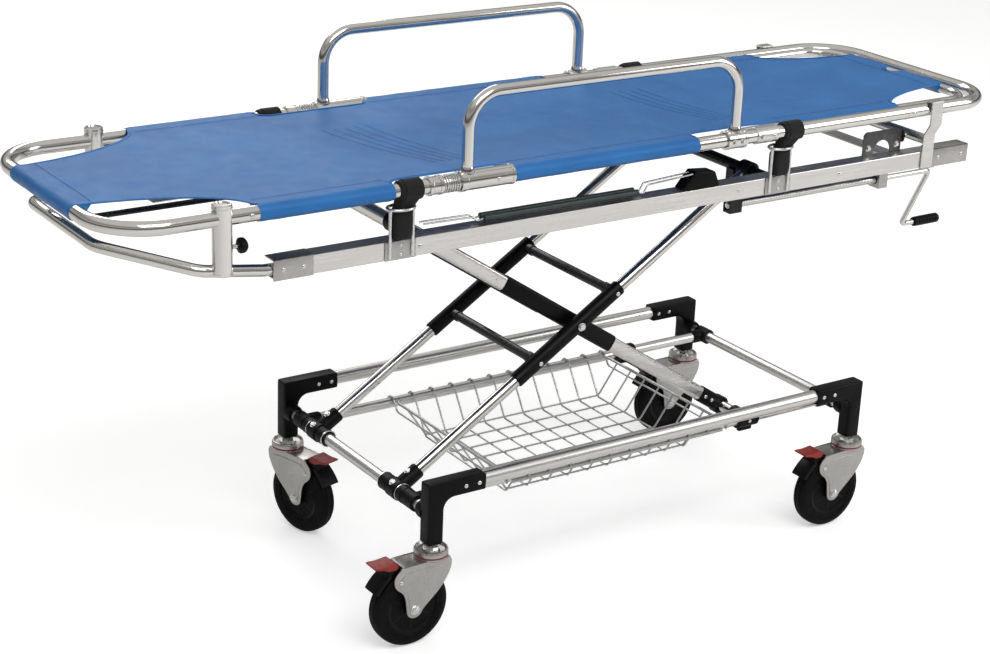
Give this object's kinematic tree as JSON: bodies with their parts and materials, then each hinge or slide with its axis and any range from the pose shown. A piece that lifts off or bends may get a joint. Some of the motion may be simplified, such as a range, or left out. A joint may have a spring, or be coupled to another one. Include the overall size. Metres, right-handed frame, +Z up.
{
  "type": "stretcher trolley",
  "caption": "Stretcher trolley: sling bed with fold-down guardrails and a hinged backrest, on a crank-driven scissor lift with a braked caster base and wire basket",
  "frame": {"origin": "on the floor under the middle of the whole object box, crank and bumper included", "axes": "+X towards the head end with the crank, +Y to the right side, +Z up"},
  "size_m": [1.994, 0.5968, 0.9975],
  "materials": {
    "chrome": "bright polished tube",
    "aluminium": "satin drawn tube and extrusion",
    "zinc": "bright zinc plated sheet",
    "black_plastic": "moulded black, slight grain",
    "black_steel": "gloss black coating",
    "tyre": "black rubber",
    "wire": "plated welded wire",
    "fabric": "coated blue sheet with welded hems",
    "red_plastic": "red moulded pedal"
  },
  "bodies": {
    "base": {"corner_casting_foot_left": "black_plastic", "corner_casting_foot_right": "black_plastic", "corner_casting_head_left": "black_plastic", "corner_casting_head_right": "black_plastic", "base_rail_left": "aluminium", "base_rail_right": "aluminium", "inner_rail_left": "aluminium", "inner_rail_right": "aluminium", "cross_tube_foot": "aluminium", "cross_tube_head": "aluminium", "basket": "wire"},
    "caster_foot_left": {"caster_fork_foot_left": "zinc"},
    "wheel_foot_left": {"caster_wheel_foot_left": "tyre"},
    "pedal_foot_left": {"caster_brake_pedal_foot_left": "red_plastic"},
    "caster_foot_right": {"caster_fork_foot_right": "zinc"},
    "wheel_foot_right": {"caster_wheel_foot_right": "tyre"},
    "pedal_foot_right": {"caster_brake_pedal_foot_right": "red_plastic"},
    "caster_head_left": {"caster_fork_head_left": "zinc"},
    "wheel_head_left": {"caster_wheel_head_left": "tyre"},
    "pedal_head_left": {"caster_brake_pedal_head_left": "red_plastic"},
    "caster_head_right": {"caster_fork_head_right": "zinc"},
    "wheel_head_right": {"caster_wheel_head_right": "tyre"},
    "pedal_head_right": {"caster_brake_pedal_head_right": "red_plastic"},
    "outer_legs": {"leg_outer_left": "aluminium", "leg_outer_right": "aluminium", "leg_brace_lower": "black_steel", "leg_brace_upper": "black_steel"},
    "inner_legs": {"leg_inner_left": "aluminium", "leg_inner_right": "aluminium"},
    "top_slider": {"top_slider": "black_steel"},
    "foot_slider": {"foot_slider": "black_plastic"},
    "chassis": {"chassis_rail_left": "aluminium", "chassis_rail_right": "aluminium", "pivot_tube": "aluminium", "foot_bumper": "chrome", "head_support": "zinc", "crank_bearing": "zinc", "strap_bracket_foot_left": "zinc", "strap_bracket_foot_right": "zinc", "strap_bracket_head_left": "zinc", "strap_bracket_head_right": "zinc", "side_pole_left": "aluminium", "side_pole_right": "aluminium", "pole_joint_left": "aluminium", "pole_joint_right": "aluminium", "pole_end_foot": "chrome", "pole_end_head": "chrome", "sheet_seat": "fabric"},
    "crank": {"crank": "chrome"},
    "crank_grip": {"crank_grip": "black_plastic"},
    "wing_knob_left": {"wing_knob_left": "black_plastic"},
    "star_knob_left": {"star_knob_left": "black_plastic"},
    "guardrail_left": {"guardrail_left": "chrome"},
    "lock_collar_left": {"lock_collar_left": "chrome"},
    "wing_knob_right": {"wing_knob_right": "black_plastic"},
    "star_knob_right": {"star_knob_right": "black_plastic"},
    "guardrail_right": {"guardrail_right": "chrome"},
    "lock_collar_right": {"lock_collar_right": "chrome"},
    "backrest": {"backrest_frame": "aluminium", "sheet_back": "fabric"}
  },
  "joints": [
    {"name": "swivel_foot_left", "type": "hinge", "parent": "base", "child": "caster_foot_left", "pos_m": [-0.40104, -0.26761, 0.17], "axis": [0, 0, 1], "continuous": true},
    {"name": "wheel_spin_foot_left", "type": "hinge", "parent": "caster_foot_left", "child": "wheel_foot_left", "pos_m": [-0.44604, -0.26761, 0.075], "axis": [0, 1, 0], "continuous": true},
    {"name": "pedal_foot_left", "type": "hinge", "parent": "caster_foot_left", "child": "pedal_foot_left", "pos_m": [-0.47704, -0.26761, 0.157], "axis": [0, -1, 0], "range_deg": [0, 6.5]},
    {"name": "swivel_foot_right", "type": "hinge", "parent": "base", "child": "caster_foot_right", "pos_m": [-0.40104, 0.26239, 0.17], "axis": [0, 0, 1], "continuous": true},
    {"name": "wheel_spin_foot_right", "type": "hinge", "parent": "caster_foot_right", "child": "wheel_foot_right", "pos_m": [-0.38939, 0.21892, 0.075], "axis": [-0.9659, -0.2588, 0], "continuous": true},
    {"name": "pedal_foot_right", "type": "hinge", "parent": "caster_foot_right", "child": "pedal_foot_right", "pos_m": [-0.38137, 0.18898, 0.157], "axis": [0.9659, 0.2588, 0], "range_deg": [0, 6.5]},
    {"name": "swivel_head_left", "type": "hinge", "parent": "base", "child": "caster_head_left", "pos_m": [0.58496, -0.26761, 0.17], "axis": [0, 0, 1], "continuous": true},
    {"name": "wheel_spin_head_left", "type": "hinge", "parent": "caster_head_left", "child": "wheel_head_left", "pos_m": [0.53996, -0.26761, 0.075], "axis": [0, 1, 0], "continuous": true},
    {"name": "pedal_head_left", "type": "hinge", "parent": "caster_head_left", "child": "pedal_head_left", "pos_m": [0.50896, -0.26761, 0.157], "axis": [0, -1, 0], "range_deg": [0, 6.5]},
    {"name": "swivel_head_right", "type": "hinge", "parent": "base", "child": "caster_head_right", "pos_m": [0.58496, 0.26239, 0.17], "axis": [0, 0, 1], "continuous": true},
    {"name": "wheel_spin_head_right", "type": "hinge", "parent": "caster_head_right", "child": "wheel_head_right", "pos_m": [0.53996, 0.26239, 0.075], "axis": [0, 1, 0], "continuous": true},
    {"name": "pedal_head_right", "type": "hinge", "parent": "caster_head_right", "child": "pedal_head_right", "pos_m": [0.50896, 0.26239, 0.157], "axis": [0, -1, 0], "range_deg": [0, 6.5]},
    {"name": "lift", "type": "hinge", "parent": "base", "child": "outer_legs", "pos_m": [-0.40104, -0.00261, 0.241], "axis": [0, 1, 0], "range_deg": [0, 21]},
    {"name": "scissor_centre", "type": "hinge", "parent": "outer_legs", "child": "inner_legs", "pos_m": [-0.01754, -0.00261, 0.48825], "axis": [0, 1, 0], "range_deg": [-42.5, 0.5]},
    {"name": "chassis_level", "type": "hinge", "parent": "inner_legs", "child": "chassis", "pos_m": [-0.40104, -0.00261, 0.7355], "axis": [0, 1, 0], "range_deg": [-0.5, 21.5]},
    {"name": "top_slider_level", "type": "hinge", "parent": "outer_legs", "child": "top_slider", "pos_m": [0.36596, -0.00261, 0.7355], "axis": [0, 1, 0], "range_deg": [-21.5, 0.5]},
    {"name": "foot_slider_level", "type": "hinge", "parent": "inner_legs", "child": "foot_slider", "pos_m": [0.36596, -0.00261, 0.241], "axis": [0, 1, 0], "range_deg": [-0.5, 21.5]},
    {"name": "crank_turn", "type": "hinge", "parent": "chassis", "child": "crank", "pos_m": [0.89096, -0.11461, 0.657], "axis": [1, 0, 0], "continuous": true},
    {"name": "crank_grip_spin", "type": "hinge", "parent": "crank", "child": "crank_grip", "pos_m": [0.96096, -0.05122, 0.52105], "axis": [1, 0, 0], "continuous": true},
    {"name": "wing_knob_turn_left", "type": "hinge", "parent": "chassis", "child": "wing_knob_left", "pos_m": [-0.76654, -0.24861, 0.788], "axis": [1, 0, 0], "continuous": true},
    {"name": "star_knob_turn_left", "type": "hinge", "parent": "chassis", "child": "star_knob_left", "pos_m": [0.71496, -0.19861, 0.774], "axis": [1, 0, 0], "continuous": true},
    {"name": "guardrail_fold_left", "type": "hinge", "parent": "chassis", "child": "guardrail_left", "pos_m": [-0.34004, -0.24861, 0.838], "axis": [1, 0, 0], "range_deg": [0, 165]},
    {"name": "lock_collar_slide_left", "type": "slide", "parent": "chassis", "child": "lock_collar_left", "axis": [1, 0, 0], "range_m": [0, 0.01]},
    {"name": "wing_knob_turn_right", "type": "hinge", "parent": "chassis", "child": "wing_knob_right", "pos_m": [-0.76654, 0.24339, 0.788], "axis": [1, 0, 0], "continuous": true},
    {"name": "star_knob_turn_right", "type": "hinge", "parent": "chassis", "child": "star_knob_right", "pos_m": [0.71496, 0.19339, 0.774], "axis": [1, 0, 0], "continuous": true},
    {"name": "guardrail_fold_right", "type": "hinge", "parent": "chassis", "child": "guardrail_right", "pos_m": [-0.34004, 0.24339, 0.838], "axis": [-1, 0, 0], "range_deg": [0, 165]},
    {"name": "lock_collar_slide_right", "type": "slide", "parent": "chassis", "child": "lock_collar_right", "axis": [1, 0, 0], "range_m": [0, 0.01]},
    {"name": "backrest", "type": "hinge", "parent": "chassis", "child": "backrest", "pos_m": [0.28796, -0.00261, 0.838], "axis": [0, -1, 0], "range_deg": [0, 70]}
  ],
  "couplings": [
    {"joint": "scissor_centre", "follows": "lift", "ratio": -2},
    {"joint": "chassis_level", "follows": "lift", "ratio": 1},
    {"joint": "top_slider_level", "follows": "lift", "ratio": -1},
    {"joint": "foot_slider_level", "follows": "lift", "ratio": 1}
  ]
}
